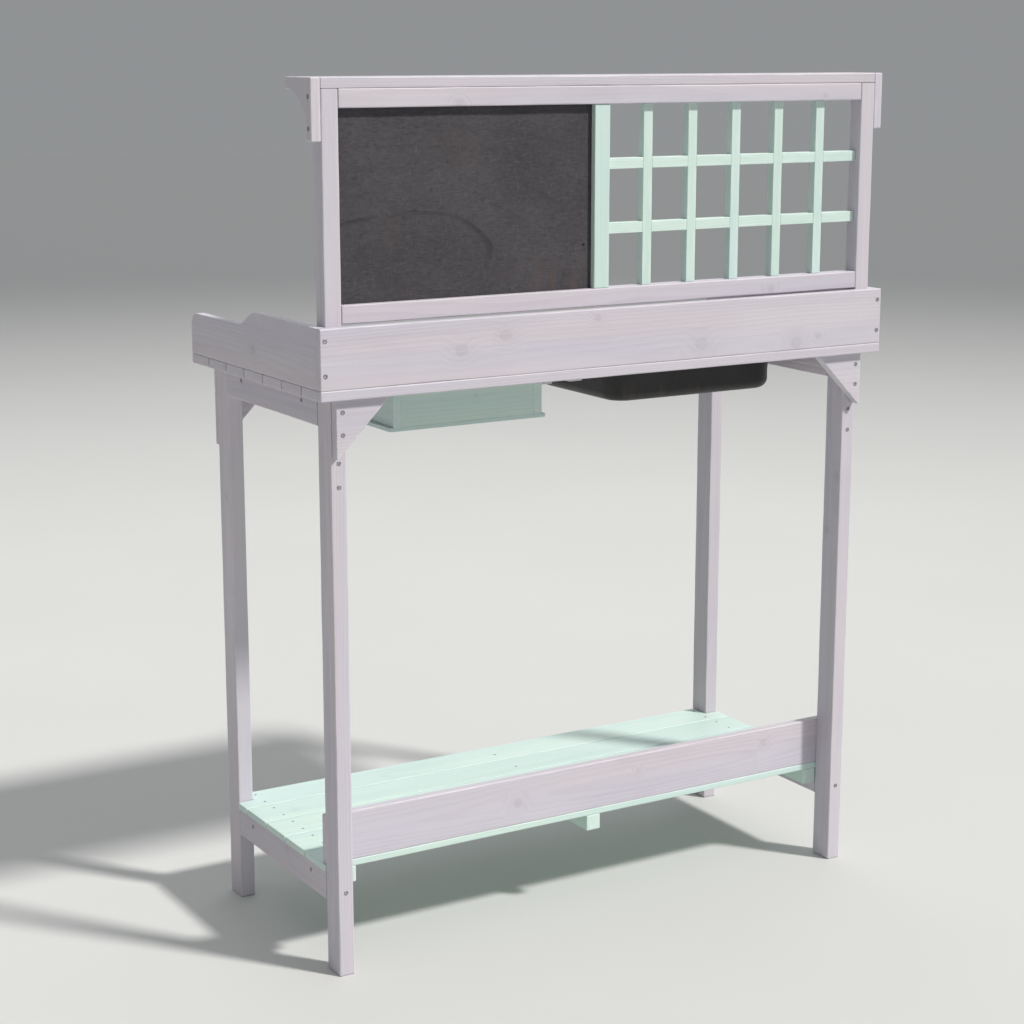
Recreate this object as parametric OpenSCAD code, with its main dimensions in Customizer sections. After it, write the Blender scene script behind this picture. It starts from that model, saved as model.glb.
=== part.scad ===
// Potting bench: slatted worktop tray on four legs, with a drawer, a drop-in basin,
// a low storage shelf and a raised hutch that holds a chalkboard and a lattice.
// Front (the user's side) is -Y, +X is the user's right, +Z is up.
// The origin is on the ground under the middle of the worktop.

/* [Overall size] */
// Length of the worktop, left to right
bench_w = 984; // [940:2:1400]
// Depth of the worktop, front to back
bench_d = 450; // [400:2:560]
// Height of the worktop's upper face
worktop_h = 870; // [700:2:1050]
// Height of the top shelf's upper face
total_h = 1290; // [1200:2:1600]

/* [Boards] */
// Thickness of the planed boards
board_t = 15; // [12:1:20]
// Distance that gussets, aprons and the guard board stop short of the legs' outer faces
board_inset = 2; // [1:1:5]

/* [Legs and rails] */
// Width of a leg, left to right
leg_w = 24; // [20:1:40]
// Depth of a leg, front to back
leg_d = 40; // [30:1:60]
// Distance that the worktop stands out past the legs at each end
end_overhang = 26; // [20:1:50]
// Distance that the worktop stands out past the back legs
back_overhang = 26; // [22:1:40]
// Distance that the worktop stands out past the front legs
front_overhang = 32; // [30:1:50]
// Height of the side rails and the front apron
rail_h = 44; // [36:1:60]
// Leg of the right-angled corner gussets
gusset_s = 86; // [60:1:120]
// Side of the square cleats under the worktop and the shelf
cleat_s = 25; // [20:1:30]

/* [Worktop tray] */
// Number of boards in the worktop
board_count = 7; // [7:1:7]
// Gap between worktop boards
board_gap = 3; // [2:1:5]
// Height of the back board and of the side boards' back part
tray_h = 86; // [70:1:110]
// Height of the side boards' front part
tray_front_h = 63; // [45:1:68]
// Length of the curved step in the side boards' top edge
step_l = 64; // [50:1:90]
// Distance from the tray's front edge to the foot of that step
step_y = 172; // [120:1:200]
// Radius of the side boards' front top corner
tray_corner_r = 20; // [10:1:40]

/* [Hutch] */
// Side of the square hutch posts, rails and divider
post_s = 26; // [22:1:32]
// Gap between the back board and the hutch's bottom rail
hutch_gap = 2; // [2:1:20]
// Depth of the top shelf
top_shelf_d = 80; // [60:1:120]
// Height of the shelf brackets
bracket_h = 85; // [70:1:110]
// Height of the bracket's nose
bracket_nose = 16; // [10:1:24]
// Width of the bracket's foot
bracket_foot = 16; // [12:1:24]
// Straight part at the bottom of the bracket's foot
bracket_heel = 12; // [5:1:20]
// Distance of the divider's middle to the right of the bench's middle
divider_x = 26; // [-60:1:60]
// Setback of the divider from the posts' back faces
divider_setback = 2; // [0:1:6]
// Thickness of the chalkboard
chalkboard_t = 5; // [4:1:8]
// Setback of the chalkboard from the posts' back faces
chalkboard_setback = 11; // [8:1:20]

/* [Lattice] */
// Number of lattice uprights
upright_count = 5; // [5:1:5]
// Width of a lattice strip
lattice_w = 16; // [12:1:22]
// Thickness of a lattice strip
lattice_t = 14; // [10:1:16]
// Setback of the lattice from the posts' back faces
lattice_setback = 10; // [2:1:12]

/* [Lower shelf] */
// Height of the shelf slats' upper face
shelf_h = 160; // [120:1:300]
// Number of shelf slats
slat_count = 5; // [5:1:5]
// Distance from the front legs' front faces to the front slat
shelf_setback = 5; // [2:1:12]
// Thickness of a shelf slat
slat_t = 10; // [8:1:15]
// Gap between shelf slats
slat_gap = 3; // [2:1:5]
// Height of the guard board along the shelf's back edge
guard_h = 75; // [50:1:110]
// Distance that the slats stand out past the side rails
slat_end = 2; // [0:1:4]
// Clearance of the front slat's notches around the front legs
notch_gap = 1; // [0.5:0.5:3]

/* [Drawer] */
// Outer width of the drawer box
drawer_w = 250; // [180:1:250]
// Distance from the back of the drawer box to the back legs' front faces
drawer_back_gap = 13; // [5:1:60]
// Height of the drawer box, bottom panel included
drawer_h = 62; // [50:1:90]
// Gap between the drawer box and the worktop
drawer_top_gap = 4; // [3:1:8]
// Thickness of the drawer's sides and back
drawer_side_t = 14; // [10:1:15]
// Thickness of the drawer's bottom panel
drawer_bottom_t = 6; // [4:1:8]
// Distance that the bottom panel stands out past each drawer side
drawer_lip = 6; // [0:1:8]
// Width of the hanging flange on each drawer side
flange_w = 10; // [8:1:12]
// Thickness of that flange and of the runner's ledge
flange_t = 7; // [6:1:9]
// Side and end clearance of the drawer in its runners and apron
drawer_gap = 2; // [1:0.5:4]
// Distance that the drawer's front panel reaches below the box's bottom
front_drop = 3; // [0:1:6]
// Distance that the front panel covers past the flanges at each end
front_cover = 1; // [0:1:4]
// Diameter of the knob
knob_d = 30; // [24:1:40]
// Length that the knob stands out from the drawer front
knob_l = 16; // [14:1:16]

/* [Basin] */
// Outer length of the basin's body, left to right
basin_w = 326; // [250:1:340]
// Distance that the basin sits outwards from the middle of its bay
basin_shift = 20; // [0:1:24]
// Outer depth of the basin below its rim
basin_h = 86; // [60:1:110]
// Wall thickness of the basin
basin_wall = 2.5; // [2:0.5:4]
// Width of the rim that rests on the worktop
rim_w = 14; // [10:1:18]
// Thickness of the rim
rim_t = 3; // [2:0.5:5]
// Radius of the basin's upright corners
basin_r = 36; // [25:1:60]
// Inward slope of each wall from top to bottom
basin_taper = 6; // [2:1:15]
// Clearance between the basin's body and the worktop opening
basin_gap = 4; // [2:0.5:8]

/* [Fasteners] */
// Diameter of a screw head
screw_head_d = 7; // [6:0.5:9]
// Diameter of a screw's shank
screw_d = 3.5; // [3:0.5:5]
// Length of a screw
screw_l = 32; // [30:1:38]
// Diameter of a nail head
nail_head_d = 4; // [3:0.5:6]
// Diameter of a nail's shank
nail_d = 1.8; // [1.4:0.2:2.6]
// Length of a nail
nail_l = 24; // [20:1:24]
// Height that screw and nail heads stand proud of the wood
head_proud = 0.4; // [0.2:0.1:0.6]

/* [Hidden] */
// Clearance between faces that slide or lift apart
slide_gap = 0.3;

// Plan positions
x_end = bench_w / 2;
y_front = -bench_d / 2;
y_back = bench_d / 2;
leg_x1 = x_end - end_overhang;
leg_x0 = leg_x1 - leg_w;
leg_y0 = y_front + front_overhang;
leg_y1 = y_back - back_overhang;
inner_y0 = leg_y0 + leg_d;
inner_y1 = leg_y1 - leg_d;
inset_x = leg_x1 - board_inset;
cleat_x = leg_x0 - cleat_s / 2;

// Heights
deck_z = worktop_h - board_t;
rail_z = deck_z - rail_h;
slat_z = shelf_h - slat_t;
tray_z = worktop_h + tray_h;

// Hutch
post_y1 = y_back - board_t;
post_y0 = post_y1 - post_s;
post_x1 = x_end - board_t;
post_x0 = post_x1 - post_s;
post_z = total_h - board_t;
hutch_z0 = tray_z + hutch_gap + post_s;
hutch_z1 = post_z - post_s;
lattice_x0 = -post_x0;
lattice_x1 = divider_x - post_s / 2;
lattice_y1 = post_y1 - lattice_setback;
lattice_y0 = lattice_y1 - lattice_t;
bar_count = 2;
upright_pitch = (lattice_x1 - lattice_x0 + lattice_w) / (upright_count + 1);
bar_pitch = (hutch_z1 - hutch_z0 + lattice_w) / (bar_count + 1);

// Worktop boards, and the boards that the basin's opening cuts
deck_board_w = (bench_d - (board_count - 1) * board_gap) / board_count;
deck_pitch = deck_board_w + board_gap;
cut_first = 1;
cut_last = 4;
bay_x = (cleat_s / 2 + leg_x0 - cleat_s) / 2;
basin_x = -bay_x - basin_shift;
open_x0 = basin_x - basin_w / 2 - basin_gap;
open_x1 = basin_x + basin_w / 2 + basin_gap;
open_y0 = y_front + cut_first * deck_pitch - board_gap;
open_y1 = y_front + (cut_last + 1) * deck_pitch;

// Basin
basin_d = open_y1 - open_y0 - 2 * basin_gap;
basin_y = (open_y0 + open_y1) / 2;
rim_z = worktop_h + slide_gap;

// Drawer
drawer_x0 = bay_x - drawer_w / 2;
drawer_x1 = bay_x + drawer_w / 2;
drawer_y1 = inner_y1 - drawer_back_gap;
drawer_z1 = deck_z - drawer_top_gap;
drawer_z0 = drawer_z1 - drawer_h;
drawer_side_z = drawer_z0 + drawer_bottom_t;
apron_y0 = leg_y0 - board_t;
front_x0 = drawer_x0 - max(flange_w, drawer_lip) - front_cover;
front_x1 = drawer_x1 + max(flange_w, drawer_lip) + front_cover;
front_z0 = drawer_z0 - front_drop;
front_z1 = deck_z - drawer_gap;
flange_z = drawer_z1 - flange_t - 1;
runner_z = flange_z - slide_gap - flange_t;

// Lower shelf
shelf_y0 = leg_y0 + shelf_setback;
slat_pitch = (inner_y1 - shelf_y0 + slat_gap) / slat_count;
slat_w = slat_pitch - slat_gap;
slat_x1 = leg_x1 + slat_end;

lilac = "#CFC7D3";
mint = "#BFE3D3";
slate = "#3B3A3D";
black = "#1C1C1E";
steel = "#8E8C88";

// A box from its lowest corner to its highest corner
module block(low, high) {
    translate(low)
        cube(high - low);
}

// Both a shape and its mirror image across the bench's middle
module both_sides() {
    children();
    mirror([1, 0, 0]) children();
}

// An outline drawn in Y and Z, extruded along X from x0 to x1
module side_extrude(x0, x1) {
    translate([x0, 0, 0])
        rotate([90, 0, 90])
            linear_extrude(height = x1 - x0)
                children();
}

// An outline drawn in X and Z, extruded along Y from y0 to y1
module front_extrude(y0, y1) {
    translate([0, y1, 0])
        rotate([90, 0, 0])
            linear_extrude(height = y1 - y0)
                children();
}

// ---- Legs and frame ----

module leg(side, y) {
    color(lilac)
        block([side > 0 ? leg_x0 : -leg_x1, y, 0], [side > 0 ? leg_x1 : -leg_x0, y + leg_d, deck_z]);
}

module side_rail(side, z) {
    color(lilac)
        block([side > 0 ? leg_x0 : -leg_x1, inner_y0, z], [side > 0 ? leg_x1 : -leg_x0, inner_y1, z + rail_h]);
}

module front_apron(x0, x1) {
    color(lilac)
        block([x0, apron_y0, rail_z], [x1, leg_y0, deck_z]);
}

// Right-angled triangle with its square corner at the leg's outer edge
module gusset(y0, z_top) {
    front_extrude(y0, y0 + board_t)
        polygon([[inset_x, z_top], [inset_x - gusset_s, z_top], [inset_x, z_top - gusset_s]]);
}

module front_gussets() {
    color(lilac)
        both_sides()
            gusset(apron_y0, rail_z);
}

module back_gussets() {
    color(lilac)
        both_sides()
            gusset(leg_y1, deck_z);
}

module cleat(x, y0, y1, z_top) {
    block([x - cleat_s / 2, y0, z_top - cleat_s], [x + cleat_s / 2, y1, z_top]);
}

// The middle cleat stops level with the back of the basin's opening
module worktop_cleats() {
    color(lilac) {
        for (x = [-cleat_x, cleat_x])
            cleat(x, leg_y0, leg_y1, deck_z);
        cleat(0, leg_y0, open_y1, deck_z);
    }
}

// ---- Worktop tray ----

// Front edge of worktop board i, counted from the front
function board_y(i) = y_front + i * deck_pitch;
function is_cut(i) = i >= cut_first && i <= cut_last;

module worktop_board(i) {
    color(lilac)
        block([is_cut(i) ? open_x1 : -x_end, board_y(i), deck_z],
              [x_end, board_y(i) + deck_board_w, worktop_h]);
}

module worktop_stubs() {
    color(lilac)
        for (i = [cut_first : cut_last])
            block([-x_end, board_y(i), deck_z], [open_x0, board_y(i) + deck_board_w, worktop_h]);
}

module back_board() {
    color(lilac)
        block([-x_end, post_y1, worktop_h], [x_end, y_back, tray_z]);
}

// Points of the S-shaped step: two equal arcs that meet half way
function step_point(t) =
    [y_front + step_y + step_l * t,
     worktop_h + tray_front_h + (tray_h - tray_front_h) * (1 - cos(180 * t)) / 2];

module side_board_outline() {
    corner = [y_front + tray_corner_r, worktop_h + tray_front_h - tray_corner_r];
    polygon(concat(
        [[y_front, worktop_h], [post_y1, worktop_h], [post_y1, tray_z]],
        [for (i = [12 : -1 : 0]) step_point(i / 12)],
        [for (a = [90 : 10 : 180]) corner + tray_corner_r * [cos(a), sin(a)]]));
}

module side_board(side) {
    color(lilac)
        side_extrude(side > 0 ? post_x1 : -x_end, side > 0 ? x_end : -post_x1)
            side_board_outline();
}

// ---- Hutch ----

module post(side) {
    color(lilac)
        block([side > 0 ? post_x0 : -post_x1, post_y0, worktop_h],
              [side > 0 ? post_x1 : -post_x0, post_y1, post_z]);
}

module hutch_rail(z) {
    color(lilac)
        block([-post_x0, post_y0, z], [post_x0, post_y1, z + post_s]);
}

module lattice_divider() {
    color(mint)
        block([divider_x - post_s / 2, post_y0, hutch_z0],
              [divider_x + post_s / 2, post_y1 - divider_setback, hutch_z1]);
}

// Thin panel let into the frame between the right post, the divider and the rails
module chalkboard() {
    panel_y1 = post_y1 - chalkboard_setback;
    color(slate)
        block([divider_x + post_s / 2, panel_y1 - chalkboard_t, hutch_z0],
              [post_x0, panel_y1, hutch_z1]);
}

// Left edge of upright i and lower edge of bar j, each counted from 1
function upright_x(i) = lattice_x0 + i * upright_pitch - lattice_w;
function bar_z(j) = hutch_z0 + j * bar_pitch - lattice_w;

// Uprights keep their back half and bars their front half where they cross
module lattice_upright(i) {
    color(mint)
        difference() {
            block([upright_x(i), lattice_y0, hutch_z0], [upright_x(i) + lattice_w, lattice_y1, hutch_z1]);
            for (j = [1 : bar_count])
                block([upright_x(i) - 1, lattice_y0 - 1, bar_z(j)],
                      [upright_x(i) + lattice_w + 1, lattice_y0 + lattice_t / 2, bar_z(j) + lattice_w]);
        }
}

module lattice_bar(j) {
    color(mint)
        difference() {
            block([lattice_x0, lattice_y0, bar_z(j)], [lattice_x1, lattice_y1, bar_z(j) + lattice_w]);
            for (i = [1 : upright_count])
                block([upright_x(i), lattice_y0 + lattice_t / 2, bar_z(j) - 1],
                      [upright_x(i) + lattice_w, lattice_y1 + 1, bar_z(j) + lattice_w + 1]);
        }
}

module top_shelf() {
    color(lilac)
        block([-post_x1, post_y1 - top_shelf_d, post_z], [post_x1, post_y1, total_h]);
}

// Coved bracket: a nose under the shelf's front edge that sweeps down to a narrow foot
module bracket_outline() {
    nose_y = post_y1 - top_shelf_d;
    foot_y = post_y1 - bracket_foot;
    foot_z = total_h - bracket_h;
    cove_z = foot_z + bracket_heel;
    cove_a = foot_y - nose_y;
    cove_b = total_h - bracket_nose - cove_z;
    polygon(concat(
        [[foot_y, foot_z], [post_y1, foot_z], [post_y1, total_h], [nose_y, total_h]],
        [for (a = [90 : -7.5 : 0]) [nose_y + cove_a * cos(a), cove_z + cove_b * sin(a)]]));
}

module bracket(side) {
    color(lilac)
        side_extrude(side > 0 ? post_x1 : -x_end, side > 0 ? x_end : -post_x1)
            bracket_outline();
}

// ---- Lower shelf ----

module shelf_cleats() {
    color(mint)
        for (x = [-cleat_x, 0, cleat_x])
            cleat(x, shelf_y0, inner_y1, slat_z);
}

function slat_y(i) = shelf_y0 + i * slat_pitch;

module leg_notches() {
    both_sides()
        block([leg_x0 - notch_gap, leg_y0 - 1, slat_z - 1], [slat_x1 + 1, inner_y0 + notch_gap, shelf_h + 1]);
}

module shelf_slat(i) {
    color(mint)
        difference() {
            block([-slat_x1, slat_y(i), slat_z], [slat_x1, slat_y(i) + slat_w, shelf_h]);
            leg_notches();
        }
}

module guard_board() {
    color(lilac)
        block([-inset_x, inner_y1 - board_t, shelf_h], [inset_x, inner_y1, shelf_h + guard_h]);
}

// ---- Drawer ----

module drawer_front() {
    color(mint)
        block([front_x0, apron_y0, front_z0], [front_x1, leg_y0, front_z1]);
}

// A side board with the flange it hangs by along its outer top edge
module drawer_side(dir) {
    x_out = dir > 0 ? drawer_x1 : drawer_x0;
    color(mint)
        union() {
            block([min(x_out, x_out - dir * drawer_side_t), leg_y0, drawer_side_z],
                  [max(x_out, x_out - dir * drawer_side_t), drawer_y1, drawer_z1]);
            block([min(x_out, x_out + dir * flange_w), leg_y0 + board_t, flange_z],
                  [max(x_out, x_out + dir * flange_w), drawer_y1, flange_z + flange_t]);
        }
}

module drawer_back() {
    color(mint)
        block([drawer_x0 + drawer_side_t, drawer_y1 - drawer_side_t, drawer_side_z],
              [drawer_x1 - drawer_side_t, drawer_y1, drawer_z1]);
}

module drawer_bottom() {
    color(mint)
        block([drawer_x0 - drawer_lip, leg_y0, drawer_z0],
              [drawer_x1 + drawer_lip, drawer_y1, drawer_side_z]);
}

module drawer_knob() {
    neck_l = knob_l * 0.4;
    head_l = knob_l - neck_l;
    color(lilac)
        translate([bay_x, apron_y0, (front_z0 + front_z1) / 2])
            rotate([90, 0, 0])
                union() {
                    cylinder(h = neck_l, d = knob_d * 0.45, $fn = 64);
                    translate([0, 0, neck_l])
                        rotate_extrude($fn = 64)
                            polygon([[0, 0], [knob_d * 0.36, 0], [knob_d / 2, head_l * 0.3],
                                     [knob_d / 2, head_l * 0.55], [knob_d * 0.4, head_l * 0.85],
                                     [knob_d * 0.25, head_l], [0, head_l]]);
                }
}

// L-shaped hanger under the worktop that carries one flange
module drawer_runner(dir) {
    x_side = dir > 0 ? drawer_x1 : drawer_x0;
    x_wall = x_side + dir * (flange_w + drawer_gap);
    x_ledge = x_side + dir * drawer_gap;
    y_end = drawer_y1 - drawer_side_t;
    color(lilac)
        union() {
            block([min(x_wall, x_wall + dir * board_t), leg_y0, runner_z],
                  [max(x_wall, x_wall + dir * board_t), y_end, deck_z]);
            block([min(x_ledge, x_wall), leg_y0 + drawer_gap, runner_z],
                  [max(x_ledge, x_wall), y_end, runner_z + flange_t]);
        }
}

// ---- Basin ----

// A rounded, tapered block whose top is w by d at z1 and whose floor is at z0
module tub(w, d, r, z0, z1, taper) {
    hull()
        for (x = [-1, 1], y = [-1, 1]) {
            translate([basin_x + x * (w / 2 - r), basin_y + y * (d / 2 - r), z1 - 1])
                cylinder(h = 1, r = r, $fn = 32);
            translate([basin_x + x * (w / 2 - r - taper), basin_y + y * (d / 2 - r - taper), z0 + r / 4])
                cylinder(h = 1, r = r, $fn = 32);
            translate([basin_x + x * (w / 2 - r - taper), basin_y + y * (d / 2 - r - taper), z0])
                cylinder(h = 1, r = r * 0.8, $fn = 32);
        }
}

// A flat plate with rounded corners, centred on the basin
module rim_plate(w, d, r) {
    hull()
        for (x = [-1, 1], y = [-1, 1])
            translate([basin_x + x * (w / 2 - r), basin_y + y * (d / 2 - r), rim_z])
                cylinder(h = rim_t, r = r, $fn = 32);
}

module basin() {
    floor_z = rim_z + rim_t - basin_h;
    color(black)
        difference() {
            union() {
                tub(basin_w, basin_d, basin_r, floor_z, rim_z + 1, basin_taper);
                rim_plate(basin_w + 2 * rim_w, basin_d + 2 * rim_w, basin_r + rim_w);
            }
            tub(basin_w - 2 * basin_wall, basin_d - 2 * basin_wall, basin_r - basin_wall,
                floor_z + basin_wall, rim_z + rim_t + 1, basin_taper);
        }
}

// ---- Fasteners ----

// A head and shank that point down from the origin
module fastener(head_d, head_t, shank_d, length) {
    translate([0, 0, head_proud - head_t])
        cylinder(h = head_t, d = head_d, $fn = 24);
    translate([0, 0, head_proud - length])
        cylinder(h = length - head_t, d = shank_d, $fn = 16);
}

module screw(at, turn, length = screw_l) {
    translate(at)
        rotate(turn)
            fastener(screw_head_d, 1.4, screw_d, length);
}

module nail(at) {
    translate(at)
        fastener(nail_head_d, 1, nail_d, nail_l);
}

face_back = [-90, 0, 0];
face_front = [90, 0, 0];
face_right = [0, 90, 0];

// Two short screws under each gusset, and a long one through the leg into the lower rail
module leg_screws() {
    leg_x = (leg_x0 + leg_x1) / 2;
    long_l = leg_d + leg_w;
    for (z = [rail_z - 48, rail_z - 82]) {
        screw([leg_x, leg_y1, z], face_back);
        screw([leg_x, leg_y0, z], face_front);
    }
    screw([leg_x, leg_y1, slat_z - rail_h / 2], face_back, long_l);
    screw([leg_x, leg_y0, slat_z - rail_h / 2], face_front, long_l);
}

module gusset_screws() {
    leg_x = (leg_x0 + leg_x1) / 2;
    for (dz = [gusset_s * 0.21, gusset_s * 0.58]) {
        screw([leg_x, leg_y1 + board_t, deck_z - dz], face_back);
        screw([leg_x, apron_y0, rail_z - dz], face_front);
    }
}

// Through each side rail into the cleat behind it
module rail_screws() {
    rail_y = (inner_y0 + inner_y1) / 2;
    reach = (inner_y1 - inner_y0) / 3;
    for (y = [rail_y - reach, rail_y + reach], z = [deck_z - cleat_s * 0.56, slat_z - cleat_s * 0.56])
        screw([leg_x1, y, z], face_right);
}

module tray_screws() {
    for (z = [worktop_h + tray_h * 0.24, worktop_h + tray_h * 0.8])
        screw([x_end - board_t / 2, y_back, z], face_back);
    for (z = [total_h - bracket_h * 0.3, total_h - bracket_h * 0.8])
        screw([x_end, post_y1 - bracket_foot / 2, z], face_right);
    screw([(leg_x0 + leg_x1) / 2, apron_y0, deck_z - rail_h / 2], face_front);
}

module screws() {
    color(steel)
        both_sides() {
            leg_screws();
            gusset_screws();
            rail_screws();
            tray_screws();
        }
}

// Two nails through each board into each outer cleat and one into the middle cleat,
// wherever the cleat lies under them. The last slat's nails stay in front of the guard board.
module nails() {
    guard_y0 = inner_y1 - board_t;
    spots = [[-cleat_x, 0.24], [-cleat_x, 0.78], [0, 0.6], [cleat_x, 0.24], [cleat_x, 0.78]];
    color(steel)
        for (spot = spots) {
            cleat_y1 = spot[0] == 0 ? open_y1 : leg_y1;
            for (i = [0 : slat_count - 1])
                nail([spot[0], min(slat_y(i) + slat_w * spot[1], guard_y0 - nail_head_d), shelf_h]);
            for (i = [0 : board_count - 1])
                if (board_y(i) + deck_board_w * spot[1] > leg_y0 + nail_head_d &&
                    board_y(i) + deck_board_w * spot[1] < cleat_y1 - nail_head_d)
                    nail([spot[0], board_y(i) + deck_board_w * spot[1], worktop_h]);
        }
}

leg(-1, leg_y0);  // leg_front_left
leg(1, leg_y0);  // leg_front_right
leg(-1, inner_y1);  // leg_back_left
leg(1, inner_y1);  // leg_back_right
side_rail(-1, rail_z);  // upper_rail_left
side_rail(1, rail_z);  // upper_rail_right
side_rail(-1, slat_z - rail_h);  // lower_rail_left
side_rail(1, slat_z - rail_h);  // lower_rail_right
front_apron(-inset_x, front_x0 - drawer_gap);  // front_apron_left
front_apron(front_x1 + drawer_gap, inset_x);  // front_apron_right
front_gussets();
back_gussets();
worktop_cleats();
worktop_board(0);  // worktop_board_1
worktop_board(1);  // worktop_board_2
worktop_board(2);  // worktop_board_3
worktop_board(3);  // worktop_board_4
worktop_board(4);  // worktop_board_5
worktop_board(5);  // worktop_board_6
worktop_board(6);  // worktop_board_7
worktop_stubs();
back_board();
side_board(-1);  // side_board_left
side_board(1);  // side_board_right
post(-1);  // post_left
post(1);  // post_right
hutch_rail(hutch_z1);  // hutch_top_rail
hutch_rail(hutch_z0 - post_s);  // hutch_bottom_rail
lattice_divider();
chalkboard();
lattice_upright(1);  // lattice_upright_1
lattice_upright(2);  // lattice_upright_2
lattice_upright(3);  // lattice_upright_3
lattice_upright(4);  // lattice_upright_4
lattice_upright(5);  // lattice_upright_5
lattice_bar(1);  // lattice_bar_lower
lattice_bar(2);  // lattice_bar_upper
top_shelf();
bracket(-1);  // bracket_left
bracket(1);  // bracket_right
shelf_cleats();
shelf_slat(0);  // shelf_slat_1
shelf_slat(1);  // shelf_slat_2
shelf_slat(2);  // shelf_slat_3
shelf_slat(3);  // shelf_slat_4
shelf_slat(4);  // shelf_slat_5
guard_board();
drawer_front();
drawer_side(-1);  // drawer_side_left
drawer_side(1);  // drawer_side_right
drawer_back();
drawer_bottom();
drawer_knob();
drawer_runner(-1);  // drawer_runner_left
drawer_runner(1);  // drawer_runner_right
basin();
screws();
nails();
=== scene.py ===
# Looks for the potting bench: eased and worn boards, a moulded basin, screws and nails,
# with painted wood, chalkboard, plastic and steel materials. Metres, +Z up, the user at -Y.
import math
import random

import bmesh
import bpy
from mathutils import Matrix, Vector, noise


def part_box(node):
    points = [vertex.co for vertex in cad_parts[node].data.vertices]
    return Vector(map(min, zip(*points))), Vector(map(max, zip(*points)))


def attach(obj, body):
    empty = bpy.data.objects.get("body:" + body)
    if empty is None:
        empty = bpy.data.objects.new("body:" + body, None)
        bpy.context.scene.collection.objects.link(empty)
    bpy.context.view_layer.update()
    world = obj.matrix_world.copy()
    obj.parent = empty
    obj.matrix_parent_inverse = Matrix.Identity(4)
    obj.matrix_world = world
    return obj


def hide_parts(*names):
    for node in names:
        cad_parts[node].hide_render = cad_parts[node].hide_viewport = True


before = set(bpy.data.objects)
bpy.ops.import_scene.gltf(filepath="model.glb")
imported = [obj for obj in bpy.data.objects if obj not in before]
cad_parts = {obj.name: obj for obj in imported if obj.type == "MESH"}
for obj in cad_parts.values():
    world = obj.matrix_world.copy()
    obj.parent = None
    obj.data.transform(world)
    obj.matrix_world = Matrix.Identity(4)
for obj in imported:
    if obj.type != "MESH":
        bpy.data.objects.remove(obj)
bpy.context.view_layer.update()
MM = 0.001
X, Y, Z = 0, 1, 2
QUARTER, FULL = math.pi / 2, 2 * math.pi
WELD = 1e-6  # CAD vertices this close are one vertex
NEAR = 1e-5  # CAD vertices this close lie on the same face


# ---- Reading the CAD nodes ----

def cad_points(node):
    return [v.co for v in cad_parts[node].data.vertices]


def solids(node):
    """The lowest and highest corner of each separate solid in a CAD node, and its vertices."""
    bm = bmesh.new()
    bm.from_mesh(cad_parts[node].data)
    bmesh.ops.remove_doubles(bm, verts=bm.verts, dist=WELD)
    seen, found = set(), []
    for first in bm.verts:
        if first in seen:
            continue
        seen.add(first)
        stack, group = [first], []
        while stack:
            v = stack.pop()
            group.append(v.co.copy())
            for e in v.link_edges:
                other = e.other_vert(v)
                if other not in seen:
                    seen.add(other)
                    stack.append(other)
        low = Vector([min(p[k] for p in group) for k in range(3)])
        high = Vector([max(p[k] for p in group) for k in range(3)])
        found.append((low, high, group))
    bm.free()
    return sorted(found, key=lambda s: tuple(round(c, 4) for c in s[0]))


# ---- Pieces ----

KNOT_REACH = 0.1  # a face further than this from every knot has none
NO_KNOT = (1.0, 1.0, 0.001)


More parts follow.
